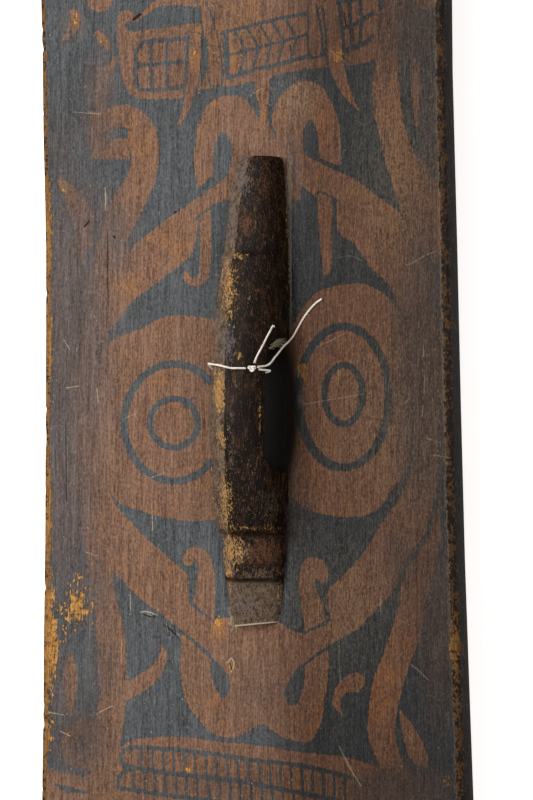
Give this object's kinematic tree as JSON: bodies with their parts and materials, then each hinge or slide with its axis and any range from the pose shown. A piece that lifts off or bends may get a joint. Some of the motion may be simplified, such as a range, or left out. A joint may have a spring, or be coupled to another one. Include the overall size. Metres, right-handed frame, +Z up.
{
  "type": "dayak war shield",
  "caption": "Long folded wooden shield with a handle carved from the same block, a finger hole under its grip, and painted hook and eye ornament on the hand side.",
  "frame": {"origin": "middle of the underside, midway along the length and midway between the widest places of the two sides, on the flat of the keel", "axes": "+Y along the shield towards its upper end, +X to the right as the bearer looks at the hand side, +Z up out of the hand side"},
  "size_m": [0.4014, 1.2, 0.0728],
  "materials": {
    "painted_wood": "light softwood with worn red-brown and blue-black paint, handle dark with hand grease",
    "string": "undyed twisted cotton"
  },
  "bodies": {
    "root": {"shield": "painted_wood", "tie_loop": "string", "tie_knot": "string", "tie_tail_short": "string", "tie_tail_long": "string"}
  },
  "joints": []
}
